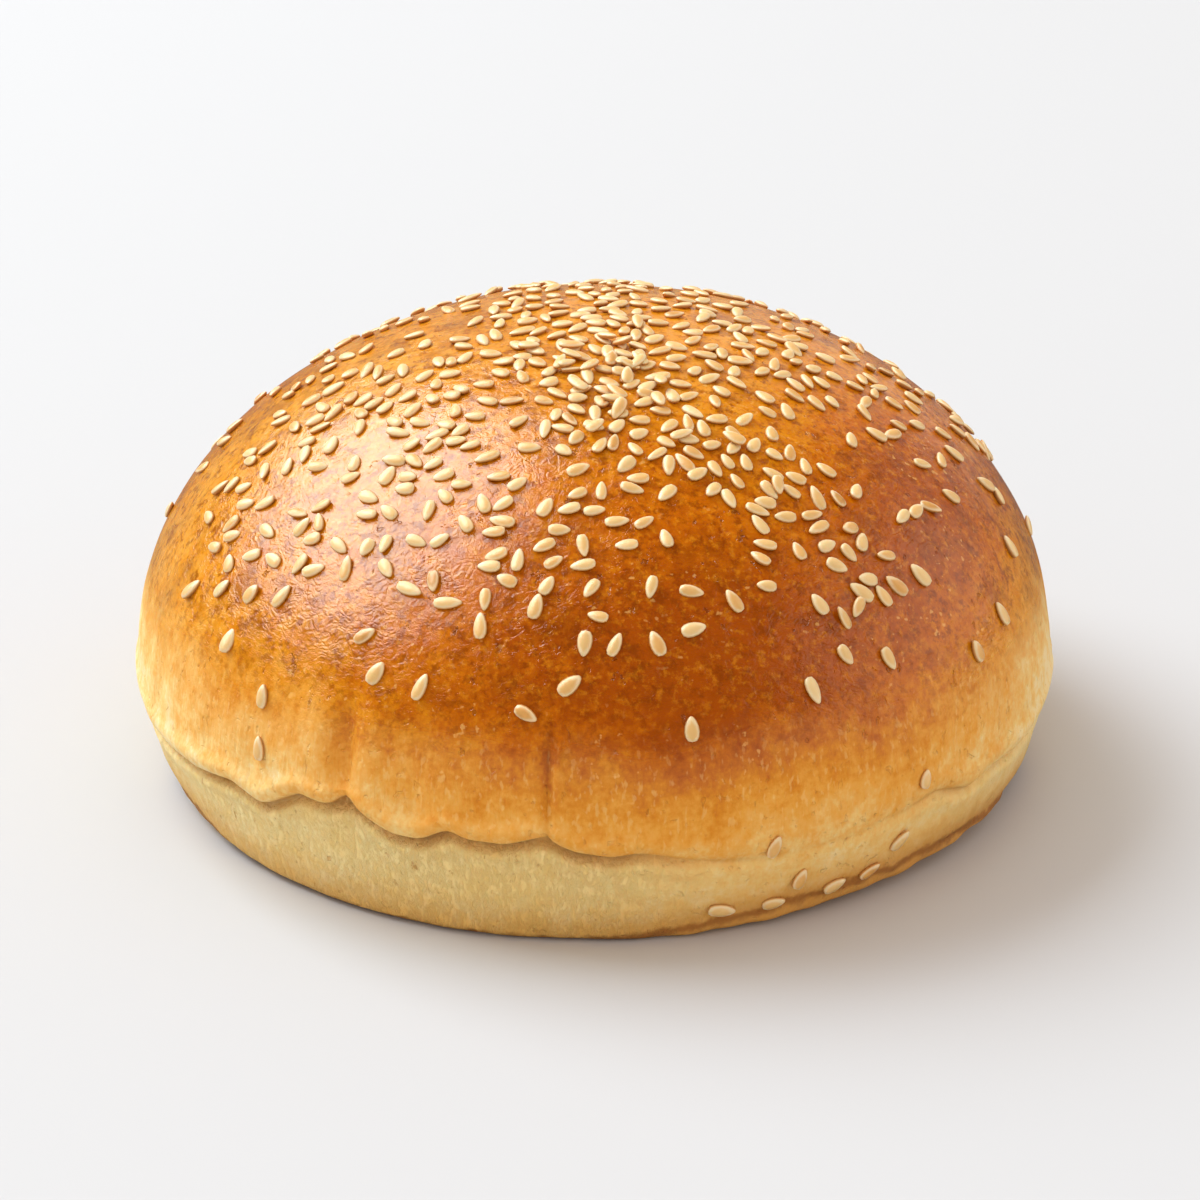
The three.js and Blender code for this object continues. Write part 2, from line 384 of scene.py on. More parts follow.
# %% Model one seed
SEED_LENGTH = 2.9
SEED_WIDTH = 1.68
SEED_THICKNESS = 0.85
SEED_SEGMENTS = 8
SEED_RINGS = 7
SEED_TAPER = 0.34
SEED_BLUNTNESS = 0.66  # below 1 it makes both ends rounder
SEED_POINT = 0.34  # how much the narrow end is sharper than the round one
SEED_FULLNESS = 0.8  # below 1 it keeps the seed thick near its rim
SEED_WIDEST = 1 + SEED_TAPER / 6  # a little over the true girth, so the seed is 3% narrower
TINY = 1e-9

bpy.ops.object.select_all(action="DESELECT")
bpy.ops.mesh.primitive_uv_sphere_add(segments=SEED_SEGMENTS, ring_count=SEED_RINGS, radius=1)
seed = bpy.context.object
seed.name = "seed_pattern"
bpy.ops.object.mode_set(mode="EDIT")
bpy.ops.mesh.select_all(action="SELECT")
bpy.ops.transform.rotate(value=math.pi / 2, orient_axis="X", center_override=(0, 0, 0))
bpy.ops.object.mode_set(mode="OBJECT")


def teardrop(sphere):
    """Turns the points of a unit sphere, with its poles along Y, into a seed's."""
    along = np.clip(sphere[:, 1], -1, 1)
    around = np.maximum(np.sqrt(1 - along**2), TINY)
    roundness = SEED_BLUNTNESS + SEED_POINT * np.maximum(along, 0)
    girth = around**roundness * (1 - SEED_TAPER * (along + along**2 / 2) / (1 + 1 / 2))
    across = sphere[:, 0] / around * girth / SEED_WIDEST
    up = sphere[:, 2] / around * girth**SEED_FULLNESS
    half = (across * SEED_WIDTH / 2, along * SEED_LENGTH / 2, up * SEED_THICKNESS / 2)
    return np.stack(half, axis=1)


seed_points = teardrop(read_points(seed) * MM)
write_points(seed, seed_points)
face_share = seed_points[:, 2] / (SEED_THICKNESS / 2)
store(seed, "seed_face", face_share)
store(seed, "seed_tone", np.zeros(len(seed_points)))
take(seed)
bpy.ops.object.shade_smooth()
seed_size = np.ptp(seed_points, axis=0).round(2)
print(f"seed {seed_size} mm, {len(seed.data.polygons)} faces")

# %% [markdown]
# ## Where the seeds lie
#
# The frame already holds the loose seeds of the flank. Each one's place and lean are read from its
# mesh, and it is laid on the fine crust at the same spot.

# %% Read the loose seeds from the frame
crust_tree = BVHTree.FromObject(crust, bpy.context.evaluated_depsgraph_get())


def longest_first(points):
    """Middle of a small shape and its three axes, the longest first."""
    middle = (points.max(axis=0) + points.min(axis=0)) / 2
    spread = points - points.mean(axis=0)
    _, axes = np.linalg.eigh(spread.T @ spread)
    return middle, axes.T[::-1]


def pointed_way(points):
    """Middle of a seed and the direction in which its narrow end points."""
    middle, axes = longest_first(points)
    spread = points - points.mean(axis=0)
    along = spread @ axes[0]
    around = np.linalg.norm(spread - np.outer(along, axes[0]), axis=1)
    narrow = axes[0] if (along * around).sum() < 0 else -axes[0]
    return middle, Vector(narrow)


def crust_near(place):
    """Nearest point of the crust to a place, in millimetres, and its normal."""
    found, normal, _, _ = crust_tree.find_nearest(Vector(place) * MM)
    return found / MM, normal


loose = []
for name in LOOSE_NODES:
    middle, tip = pointed_way(read_points(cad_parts[name]))
    spot, normal = crust_near(middle)
    loose.append((spot, normal, tip))
print(f"{len(loose)} loose seeds read")

# %% [markdown]
# The crowded seeds on the crown aren't in the frame. They fell there in pinches between finger and
# thumb, so we sprinkle them the same way: each pinch has a middle, a spread and a count. A seed
# that would lie in another is thrown again, and one that finds no free place may stay on top.

# %% Sprinkle the crown
# Middle across and back from the crown in millimetres, spread, and number of seeds.
PINCHES = [
    (-8, 4, 6, 30), (0, -2, 5, 30), (8, -4, 6, 26), (-2, -18, 4.5, 24), (4, -22, 4, 32),
    (2, -13, 4, 18), (1, -16, 3.2, 24), (-1, -9, 4, 14),
    (-14, -13, 6, 22), (-18, -19, 6, 22), (-26, -25, 8, 24), (-17, -33, 6, 17), (-9, -35, 5, 11),
    (10, -25, 3.5, 18), (16, -28, 3.5, 16), (22, -31, 3.5, 13), (16, -4, 6, 20), (21, -10, 6, 14),
    (31, 0, 6, 14), (34, -6, 5, 9), (43, 6, 4, 10), (37, -21, 4, 6), (28, -35, 3.5, 8), (-36, -8, 6, 16),
    (-31, -2, 6, 14), (-42, -19, 5, 10), (2, 16, 8, 32), (-12, 20, 9, 22), (18, 18, 9, 20),
    (0, 34, 9, 16), (-28, 16, 8, 14), (30, 24, 8, 9), (-3, -41, 4, 5), (3, -32, 5, 7),
]
LOWEST_SPRINKLED = 33
SEED_HALF_SPAN = 0.68  # a seed is kept apart from others as two round spots this far from its middle
SPOT_DISTANCE = 1.22
THROWS = 18
SPRINKLE_SEED = 20
TOP_LAYER_SHARE = 0.65  # chance that a seed which finds no free place stays on top of the others
TOP_LAYER_LIFT = 0.62
TOP_LAYER_TILT = 0.22
NEARLY_LEVEL = 0.05  # where the crust has no slope to speak of
DROP_HEIGHT = 1  # metres above the table that a seed falls from

dice = random.Random(SPRINKLE_SEED)
spots = []


def seed_spots(spot, tip):
    """The two round spots that stand for a seed when it is kept apart from others."""
    return [spot + tip * SEED_HALF_SPAN, spot - tip * SEED_HALF_SPAN]


def is_free(spot, tip):
    """True if a seed would lie clear of all that are there."""
    mine = seed_spots(spot, tip)
    for other in spots:
        if abs(other.x - spot.x) < SEED_LENGTH and abs(other.y - spot.y) < SEED_LENGTH:
            if min((one - other).length for one in mine) < SPOT_DISTANCE:
                return False
    return True


def along_crust(normal, turn):
    """A direction along the crust, turned from straight up the slope."""
    up = Vector((0, 0, 1)) - normal * normal.z
    if up.length < NEARLY_LEVEL:
        up = Vector((0, 1, 0)) - normal * normal.y
    return Matrix.Rotation(turn, 3, normal) @ up.normalized()


def thrown(x, y):
    """Where a seed lands that falls on the bun at a place, and how it lies."""
    above = Vector((x * MM, y * MM, DROP_HEIGHT))
    found, normal, _, _ = crust_tree.ray_cast(above, Vector((0, 0, -1)))
    if found is None or found.z / MM < LOWEST_SPRINKLED:
        return None
    return found / MM, normal, along_crust(normal, dice.uniform(-math.pi, math.pi))


for spot, normal, tip in loose:
    spots += seed_spots(spot, tip)

crown, top_layer = [], []
for x, y, spread, count in PINCHES:
    for _ in range(count):
        for _ in range(THROWS):
            landed = thrown(dice.gauss(x, spread), dice.gauss(y, spread))
            if landed and is_free(landed[0], landed[2]):
                spots += seed_spots(landed[0], landed[2])
                crown.append(landed)
                break
        else:
            if landed and dice.random() < TOP_LAYER_SHARE:
                top_layer.append(landed)
print(f"{len(crown)} seeds on the crown and {len(top_layer)} more on top of them")

# %% [markdown]
# ## Laying and joining the seeds
#
# Each copy is turned so that its flat side faces the crust, sunk a little into the egg wash, made
# a few percent bigger or smaller, and given its tone. The copies are then joined: to a baker they
# are hundreds of seeds, but to a renderer a few meshes are much lighter than hundreds.

# %% Lay the copies
SUNK = 0.2  # depth of a seed's middle line below where it would lie on the crust
SIZE_SPREAD = 0.07
CROWN_SIZE = 0.9  # the seeds on the crown have dried a little smaller
ROCK = 0.1  # random tilt of a seed, in radians
MEAN_TONE, TONE_SPREAD = 0.45, 0.22  # how toasted the seeds are, from 0 to 1


def lay_seed(name, spot, normal, tip, size=1.0, lift=0.0, tilt=0.0):
    """One copy of the seed at a spot on the crust."""
    copy = seed.copy()
    copy.data = seed.data.copy()
    copy.name = name
    bpy.context.scene.collection.objects.link(copy)
    side = tip.cross(normal).normalized()
    ahead = normal.cross(side).normalized()
    axes = Matrix((side, ahead, normal)).transposed()
    rocked = axes @ Matrix.Rotation(dice.gauss(0, ROCK), 3, "Y")
    rocked = rocked @ Matrix.Rotation(tilt + dice.gauss(0, ROCK), 3, "X")
    rise = SEED_THICKNESS / 2 - SUNK + lift
    pose = Matrix.Translation((spot + normal * rise) * MM) @ rocked.to_4x4()
    scale = Matrix.Diagonal([size + dice.gauss(0, SIZE_SPREAD) for _ in range(3)] + [1])
    copy.data.transform(pose @ scale)
    tone = min(1, max(0, dice.gauss(MEAN_TONE, TONE_SPREAD)))
    copy.data.attributes["seed_tone"].data.foreach_set("value", [tone] * len(copy.data.vertices))
    return copy


def joined(name, copies):
    """Several objects as one piece."""
    bpy.ops.object.select_all(action="DESELECT")
    for copy in copies:
        copy.select_set(True)
    bpy.context.view_layer.objects.active = copies[0]
    bpy.ops.object.join()
    copies[0].name = name
    return copies[0]


loose_seeds = joined("loose_seeds", [lay_seed("loose", *where) for where in loose])
laid = [lay_seed("crown", *where, CROWN_SIZE) for where in crown]
for where in top_layer:
    laid.append(lay_seed("top", *where, CROWN_SIZE, TOP_LAYER_LIFT, dice.gauss(0, TOP_LAYER_TILT)))
crown_seeds = joined("crown_seeds", laid)
bpy.data.objects.remove(seed)
print(f"crown seeds: {len(crown_seeds.data.polygons)} faces")

# %% [markdown]
# ## Writing a shader as sums
#
# A material is a net of nodes. Wired by hand it is hard to read, so one small class wraps a node's
# output and lets us write a sum on it as on a number: each operator adds its Math node. Any other
# node comes from one method, which takes the node's kind, its settings and what goes in. The rest
# are short names for the nodes that a crust needs often.


# %% The wire class
class Wire:
    """One output of a shader node, on which sums are written as on a number."""

    def __init__(self, tree, socket=None):
        self.tree = tree
        self.socket = socket

    def node(self, kind, settings=None, inputs=None, output=0):
        """Adds a node, sets it up, feeds its sockets and gives one of its outputs."""
        made = self.tree.nodes.new("ShaderNode" + kind)
        for name, value in (settings or {}).items():
            if name == "stops":
                fill_ramp(made.color_ramp, value)
            else:
                setattr(made, name, value)
        for name, value in (inputs or {}).items():
            if isinstance(value, Wire):
                self.tree.links.new(value.socket, made.inputs[name])
            else:
                made.inputs[name].default_value = value
        return Wire(self.tree, made.outputs[output])

    def maths(self, operation, *values):
        return self.node("Math", {"operation": operation}, dict(enumerate(values)))

    def __add__(self, other):
        return self.maths("ADD", self, other)

    def __sub__(self, other):
        return self.maths("SUBTRACT", self, other)

    def __rsub__(self, other):
        return self.maths("SUBTRACT", other, self)

    def __mul__(self, other):
        return self.maths("MULTIPLY", self, other)

    __radd__ = __add__
    __rmul__ = __mul__

    def step(self, start, end, low=0.0, high=1.0):
        """low before start, high after end, and a soft curve between them."""
        inputs = {"Value": self, "From Min": start, "From Max": end, "To Min": low, "To Max": high}
        return self.node("MapRange", {"interpolation_type": "SMOOTHSTEP"}, inputs)

    def fall(self, start, end):
        """1 before start, 0 after end, and a soft curve between them."""
        return self.step(start, end, 1, 0)

    def band(self, start, full, ebb, end):
        """0 before start, 1 from full to ebb, and 0 again after end."""
        return self.step(start, full) * self.fall(ebb, end)

    def noise(self, size, detail=2.0, roughness=0.5):
        """Soft noise of a size in millimetres, between 0 and 1, read at this place."""
        inputs = {"Vector": self, "Scale": 1 / size, "Detail": detail, "Roughness": roughness}
        return self.node("TexNoise", {"noise_dimensions": "3D"}, inputs)

    def ripple(self, size, detail=2.0, roughness=0.5):
        """The same noise about zero, so that it shifts a value both ways."""
        return self.noise(size, detail, roughness) - 0.5

    def pattern(self, size, detail, roughness, start, full, low=0.0, high=1.0):
        """The same noise cut off softly: low where it is under start, high where it is over full."""
        return self.noise(size, detail, roughness).step(start, full, low, high)

    def from_edge(self, size):
        """Distance to the nearest edge in a net of cells of a size in millimetres."""
        inputs = {"Vector": self, "Scale": 1 / size}
        return self.node("TexVoronoi", {"feature": "DISTANCE_TO_EDGE"}, inputs)

    def stored(self, name):
        """A number that was stored on the points of the piece."""
        return self.node("Attribute", {"attribute_name": name}, output="Fac")

    def axis(self, name):
        """One of this place's three coordinates."""
        return self.node("SeparateXYZ", None, {"Vector": self}, name)

    def stretched(self, x, y, z):
        """This place with its three axes scaled."""
        return self.node("VectorMath", {"operation": "MULTIPLY"}, {0: self, 1: (x, y, z)})

    def pushed(self, sideways, upwards, distance):
        """This place moved by two noises, each from 0 to 1, times a distance."""
        x, y, z = (self.axis(name) for name in "XYZ")
        inputs = {"X": x + sideways * distance, "Y": y + sideways * distance, "Z": z + upwards * distance}
        return self.node("CombineXYZ", None, inputs)

    def nearness(self, middle, reach):
        """1 at a middle in millimetres, falling softly to 0 at the reach."""
        away = self.node("VectorMath", {"operation": "DISTANCE"}, {0: self, 1: middle}, "Value")
        return away.fall(0, reach)

    def mixed(self, share, other):
        """This colour going over to another one as share goes from 0 to 1."""
        other = (*other, 1) if isinstance(other, tuple) else other
        return self.node("Mix", {"data_type": "RGBA"}, {0: share, 6: self, 7: other}, 2)

    def plain(self, colour):
        """One colour all over, as a wire."""
        return self.node("CombineColor", None, dict(zip(("Red", "Green", "Blue"), colour)))

    def ramp(self, stops):
        """The colours of a ramp, chosen by this value from 0 to 1."""
        return self.node("ValToRGB", {"stops": stops}, {"Fac": self})

    def bumps(self):
        """The normals that this relief in millimetres gives to a surface."""
        inputs = {"Strength": 1.0, "Distance": MM, "Height": self}
        return self.node("Bump", None, inputs, "Normal")

    def layered(self, *layers):
        """This colour under others, each with where it lies, how thickly, and its colour."""
        colour = self
        for where, thickness, other in layers:
            colour = colour.mixed(where * thickness, other)
        return colour


def fill_ramp(ramp, stops):
    """Gives a colour ramp its stops, each a position and a colour."""
    while len(ramp.elements) > 1:
        ramp.elements.remove(ramp.elements[-1])
    for index, (position, colour) in enumerate(stops):
        element = ramp.elements[0] if index == 0 else ramp.elements.new(position)
        element.position = position
        element.color = (*colour, 1)


def new_material(name):
    """A material, its shader's sockets, and the place on the piece in millimetres."""
    material = bpy.data.materials.new(name)
    material.use_nodes = True
    tree = material.node_tree
    start = Wire(tree)
    place = start.node("TexCoord", output="Object").stretched(1 / MM, 1 / MM, 1 / MM)
    return material, tree.nodes["Principled BSDF"].inputs, place


def feed(sockets, **values):
    """Feeds shader sockets with links or numbers; a name's underscores stand for spaces."""
    for name, value in values.items():
        socket = sockets[name.replace("_", " ")]
        if isinstance(value, Wire):
            value.tree.links.new(value.socket, socket)
        else:
            socket.default_value = value


def wear(piece, material):
    """Gives a piece a material in place of any that it had."""
    piece.data.materials.clear()
    piece.data.materials.append(material)


# %% [markdown]
# ## The baked crust
# Part of this is painted light: the ramp pales again towards the crown, and some pale spots lie on
# the left side, where the light falls, while the dark spots on the front of the dome are painted shade.
#
# The colour of a crust is how far it has baked, and that depends on height: the flank near the
# tray is nearly raw cream, then gold, amber and, where the egg was brushed on, caramel. So a ramp
# over the height gives how far each place has baked, from 0 to 1. Noise that shifts the height
# breaks it up: broad patches, small mottles, and streaks up the flank where the skin was
# stretched. Then a few soft spots, each with a place, a reach and a strength, are listed.
#
# A noise is given by its size in millimetres, its detail and its roughness. A stretch scales the
# place across, back and up before the noise is read, so a small number makes a long pattern.

# %% How far the crust is baked, with its painted light and shade
# the ramp falls again above 33 mm: the paler crown is partly painted light from above
BAKE_AND_PAINTED_LIGHT_BY_HEIGHT = [
    (0, 0.14), (4, 0.10), (9, 0.17), (13, 0.33), (17, 0.51), (21, 0.68), (26, 0.88), (33, 0.93),
    (40, 0.80), (47, 0.66), (53, 0.58),
]
TALLEST = 60
# Pale spots, then dark ones: a middle in millimetres, a reach and a strength. The pale ones on the left
# are partly painted light, and the dark ones on the front of the dome partly painted shade.
PALE_SPOTS_AND_PAINTED_LIGHT = [
    ((-54, -10, 26), 32, 0.42), ((-36, -38, 26), 33, 0.26), ((54, -14, 22), 31, 0.44),
    ((-34, -6, 46), 26, 0.14), ((10, 54, 20), 26, 0.22), ((44, -34, 21), 20, 0.12),
]
DARK_SPOTS_AND_PAINTED_SHADE = [((12, -43, 31), 26, 0.19), ((36, -20, 40), 24, 0.2), ((4, -30, 46), 18, 0.08)]
DENT_SHADE = 0.16  # painted shade: the crust is darker in the dents and paler on the bulges

PATCHES, PATCH_SHIFT = (16, 3), 10  # each shift is in millimetres of height
MOTTLES, MOTTLE_SHIFT = (2.4, 4, 0.62), 5
STREAKS, STREAK_SHIFT = (1.1, 3, 0.6), 5
STREAK_STRETCH = (1, 1, 0.13)
FINE_MOTTLES = (0.7, 3, 0.6)
ABOVE_FLANK = (18, 30)

crust_material, crust_sockets, place = new_material("egg_washed_crust")
height = place.axis("Z")
above_fold = place.stored("above_fold")
fold_strength = place.stored("fold_strength")

patches = place.ripple(*PATCHES)
mottles = place.ripple(*MOTTLES)
fine_mottles = place.ripple(*FINE_MOTTLES)
streaks = place.stretched(*STREAK_STRETCH).ripple(*STREAKS)
on_flank = height.fall(*ABOVE_FLANK)
shifted = height + patches * PATCH_SHIFT + mottles * MOTTLE_SHIFT + streaks * on_flank * STREAK_SHIFT
bake_and_painted_light_stops = [(at / TALLEST, (share, share, share)) for at, share in BAKE_AND_PAINTED_LIGHT_BY_HEIGHT]
bake_and_painted_light = (shifted * (1 / TALLEST)).ramp(bake_and_painted_light_stops)
# painted shade: darker in the dents, paler on the bulges
bake_and_painted_light = bake_and_painted_light + place.stored("pressed_in") * DENT_SHADE
for middle, reach, change in PALE_SPOTS_AND_PAINTED_LIGHT:
    bake_and_painted_light = bake_and_painted_light - place.nearness(middle, reach) * change
for middle, reach, change in DARK_SPOTS_AND_PAINTED_SHADE:
    bake_and_painted_light = bake_and_painted_light + place.nearness(middle, reach) * change
print(f"baking by {len(BAKE_AND_PAINTED_LIGHT_BY_HEIGHT)} heights and {len(PALE_SPOTS_AND_PAINTED_LIGHT) + len(DARK_SPOTS_AND_PAINTED_SHADE)} soft spots")

# %% [markdown]
# How far the crust is baked, with its painted light, now chooses its colour, from cream over
# golden to a deep brown. Below the fold the skin was tucked under and stayed paler. Round the
# groove a golden band, and in it a brown line with breaks where the groove closes, are painted
# shade under the lip. Bands and edges are heights above the fold.
#
# A pattern is a noise that is cut off softly. Three numbers give its noise, and two more the
# values of that noise between which it rises from 0 to 1.

# %% Crust colour
CRUST_STOPS = [
    (0, (0.95, 0.73, 0.36)), (0.15, (0.93, 0.60, 0.19)), (0.30, (0.90, 0.46, 0.09)),
    (0.45, (0.87, 0.38, 0.04)), (0.62, (0.77, 0.27, 0.004)), (0.80, (0.62, 0.155, 0.0)),
    (1, (0.44, 0.083, 0.0)),
]
MOTTLE_BAKE, FINE_MOTTLE_BAKE = 0.5, 0.35  # how much the mottles differ in bake
TUCKED_PALE = (1.0, 0.78, 0.34)
TUCKED_GOLD = (0.99, 0.64, 0.18)
GROOVE_HALO_AND_PIT_GOLD = (0.68, 0.34, 0.07)
GROOVE_SHADE_BROWN = (0.30, 0.11, 0.02)

TUCKED_EDGE = (-0.9, 0)
GROOVE_HALO_BAND = (-1.6, -0.4, 0, 0.8)
GROOVE_SHADE_BAND = (-0.85, -0.3, -0.2, 0.35)
GROOVE_BREAKS, BREAK_LEFT = (4, 3, 0.5, 0.3, 0.55), 0.35  # a break keeps this much brown
FIBRES, FIBRE_STRETCH = (0.7, 5, 0.72, 0.40, 0.66), (1, 1, 0.4)
TUCKED_PATCHES = (6, 4, 0.5, 0.42, 0.66)
PALE_COVER, PALE_LOST, PALE_HEIGHTS = 0.8, 0.55, (2, 8)  # near the tray less of the pale shows

crust_base_colour = (bake_and_painted_light + mottles * MOTTLE_BAKE + fine_mottles * FINE_MOTTLE_BAKE).ramp(CRUST_STOPS)
tucked = above_fold.fall(*TUCKED_EDGE) * fold_strength
groove_halo_shade = above_fold.band(*GROOVE_HALO_BAND) * fold_strength
groove_shade = above_fold.band(*GROOVE_SHADE_BAND) * fold_strength * place.pattern(*GROOVE_BREAKS, BREAK_LEFT)
pale_cover = PALE_COVER - height.fall(*PALE_HEIGHTS) * PALE_LOST
fibrous = place.stretched(*FIBRE_STRETCH).pattern(*FIBRES)
crust_base_colour = crust_base_colour.layered(  # where each layer lies, how thickly from 0 to 1, and its colour
    (tucked, pale_cover, TUCKED_PALE),
    (fibrous * tucked, 0.5, TUCKED_GOLD),
    (place.pattern(*TUCKED_PATCHES) * tucked, 0.4, TUCKED_GOLD),
    # painted shade: a golden band round the groove and a brown line in it
    (groove_halo_shade, 0.5, GROOVE_HALO_AND_PIT_GOLD),
    (groove_shade, 0.7, GROOVE_SHADE_BROWN),
)

# %% [markdown]
# Finer things lie over the baked colour. The dome has dark patches and dark and golden grain,
# pale specks where tiny blisters burst, and small pits. The flank has pale flecks and pits too.

# %% Specks, mottles and pits
PALE_SPECK = (1.0, 0.56, 0.16)
PALE_FLECK = (1.0, 0.68, 0.24)
DARK_MOTTLE = (0.24, 0.045, 0.0)
GOLD_MOTTLE = (0.88, 0.34, 0.01)

DOME_EDGE = (19, 31)
DARK_PATCHES = (6, 5, 0.65, 0.45, 0.70)
DARK_GRAIN = (1.4, 5, 0.7, 0.48, 0.66)
GOLD_GRAIN = (1.0, 4, 0.7, 0.50, 0.68)
SPECKS, SPECK_PLACES, SPECK_EDGE = (0.9, 2, 0.4, 0.66, 0.74), (11, 2, 0.5, 0.4, 0.6), (14, 21)
FLECKS, FLECK_STRETCH, FLECK_BAND = (0.55, 2, 0.4, 0.58, 0.70), (1, 1, 0.45), (2, 6, 19, 27)
PITS, PIT_STRETCH, PIT_PLACES = (1.1, 3, 0.6, 0.64, 0.71), (1, 1, 0.5), (5, 2, 0.5, 0.4, 0.6)

on_dome = height.step(*DOME_EDGE)
specks = place.pattern(*SPECKS) * place.pattern(*SPECK_PLACES) * height.step(*SPECK_EDGE)
flecks = place.stretched(*FLECK_STRETCH).pattern(*FLECKS) * height.band(*FLECK_BAND)
pits = place.stretched(*PIT_STRETCH).pattern(*PITS) * place.pattern(*PIT_PLACES)
crust_colour = crust_base_colour.layered(
    (place.pattern(*DARK_PATCHES) * on_dome, 0.5, DARK_MOTTLE),
    (place.pattern(*GOLD_GRAIN) * on_dome, 0.4, GOLD_MOTTLE),
    (place.pattern(*DARK_GRAIN) * on_dome, 0.65, DARK_MOTTLE),
    (pits * on_dome, 0.6, DARK_MOTTLE),
    (pits * tucked, 0.85, GROOVE_HALO_AND_PIT_GOLD),
    (specks, 0.5, PALE_SPECK),
    (flecks, 0.3, PALE_FLECK),
)

# %% [markdown]
# The hot tray leaves the last marks: a golden flush that fades upwards, a scorched stretch on the
# lifted side at the front right, and the thin brown line where the crust touched the metal. The
# line climbs where the foot curled up, and the mottles make it wander.

# %% Marks of the tray
TRAY_BROWN = (0.36, 0.115, 0.012)
TRAY_GOLD = (0.80, 0.42, 0.08)
TRAY_SCORCHED = (0.62, 0.25, 0.03)
TRAY_LINE = 0.5  # height of the brown line where the foot lies flat
LINE_WANDER = 2.5
RIGHT_CURL, RIGHT_CLIMB = (-0.1, 0.42), 3.6  # the climbs are in millimetres
LEFT_CURL, LEFT_CLIMB = ((-48, -24, 2), 17), 2.52
SCORCHED_SIDE = (-0.1, 0.3)
LINE_BAND = (-1.5, -0.5, -0.3, 0.5)  # these are heights above the brown line
FLUSH_FADE, SCORCH_FADE = (-0.6, 6), (-0.4, 3.2)

lifted_side = (place.axis("X") - place.axis("Y")) * (1 / GIRTH_RADIUS) - 1
line_height = lifted_side.step(*RIGHT_CURL) * RIGHT_CLIMB + (mottles * LINE_WANDER + TRAY_LINE)
line_height = line_height + place.nearness(*LEFT_CURL) * LEFT_CLIMB
above_line = height - line_height
crust_colour = crust_colour.layered(
    (above_line.fall(*FLUSH_FADE), 0.8, TRAY_GOLD),
    (above_line.fall(*SCORCH_FADE) * lifted_side.step(*SCORCHED_SIDE), 0.6, TRAY_SCORCHED),
    (above_line.band(*LINE_BAND), 0.8, TRAY_BROWN),
)

# %% [markdown]
# The egg wash makes the dome smooth and glossy, and stops in a soft border above the flank, which
# is rough and dull. The glossy skin isn't flat: it has a fine leathery net of wrinkles and soft
# dimples, while the bare flank has pores and fibres. They are far finer than the mesh, so they are
# bumps, and their heights are in millimetres. A leathery pattern must not look even, so the place
# it is read at is first bent by two noises.

# %% Crust gloss and relief
GLOSS_SHIFT, GLOSS_EDGE = 8, (16, 27)
WASHED_ROUGHNESS, BARE_ROUGHNESS = 0.155, 0.8
CRUST_SHINE = 0.45
CRUMB_GLOW, CRUMB_GLOW_REACH = 0.1, 0.002  # light that goes into the crust and comes out again

SIDEWAYS_BEND, UPWARD_BEND, BEND = (2.2, 2), (3.1, 2), 2.5
WRINKLE_CELL, WRINKLE_STRETCH, WRINKLE_EDGE = 1.1, (1, 1, 1.9), (0, 0.3)
WRINKLE_PLACES, WRINKLE_HEIGHT = (7, 2, 0.5, 0.38, 0.6), 0.028
LEATHER, LEATHER_STRETCH, LEATHER_HEIGHT = (1.5, 5, 0.7), (0.8, 0.8, 1.5), 0.15
DIMPLES, DIMPLE_HEIGHT = (3.2, 2), 0.06
GRAIN, GRAIN_HEIGHT = (0.6, 3), 0.02
PORES, PORE_DEPTH = (1.0, 2, 0.5, 0.63, 0.78), 0.16
STREAK_HEIGHT, FIBRE_HEIGHT = 0.3, 0.15
PIT_DEPTH = 0.14

bent = place.pushed(place.noise(*SIDEWAYS_BEND), place.noise(*UPWARD_BEND), BEND)
wrinkles = bent.stretched(*WRINKLE_STRETCH).from_edge(WRINKLE_CELL).step(*WRINKLE_EDGE)
wrinkles = wrinkles * place.pattern(*WRINKLE_PLACES) * WRINKLE_HEIGHT
leather = bent.stretched(*LEATHER_STRETCH).noise(*LEATHER) * LEATHER_HEIGHT
dimples = place.noise(*DIMPLES) * DIMPLE_HEIGHT
grain = place.noise(*GRAIN) * GRAIN_HEIGHT
beside_pores = bent.pattern(*PORES, 1, 0) * PORE_DEPTH

glossy = (height + patches * GLOSS_SHIFT).step(*GLOSS_EDGE)
washed_relief = (wrinkles + leather + dimples) * glossy
bare_relief = (beside_pores + streaks * STREAK_HEIGHT) * (1 - glossy)
relief = washed_relief + bare_relief + grain - pits * PIT_DEPTH
relief = relief + (fibrous * FIBRE_HEIGHT) * tucked

feed(
    crust_sockets,
    Base_Color=crust_colour,
    Roughness=glossy * (WASHED_ROUGHNESS - BARE_ROUGHNESS) + BARE_ROUGHNESS,
    Specular_IOR_Level=CRUST_SHINE,
    Subsurface_Weight=CRUMB_GLOW,
    Subsurface_Scale=CRUMB_GLOW_REACH,
    Normal=relief.bumps(),
)
wear(crust, crust_material)
print(f"crust material of {len(crust_material.node_tree.nodes)} nodes")

# %% [markdown]
# ## The seeds' finish
#
# Hulled sesame is ivory. On the bun it toasts, some seeds more than others, so each copy's tone
# chooses between ivory and gold. The thin rim stays paler than the face. The underside is
# painted brown as shade, the dark outline where the seed sits on the crust.

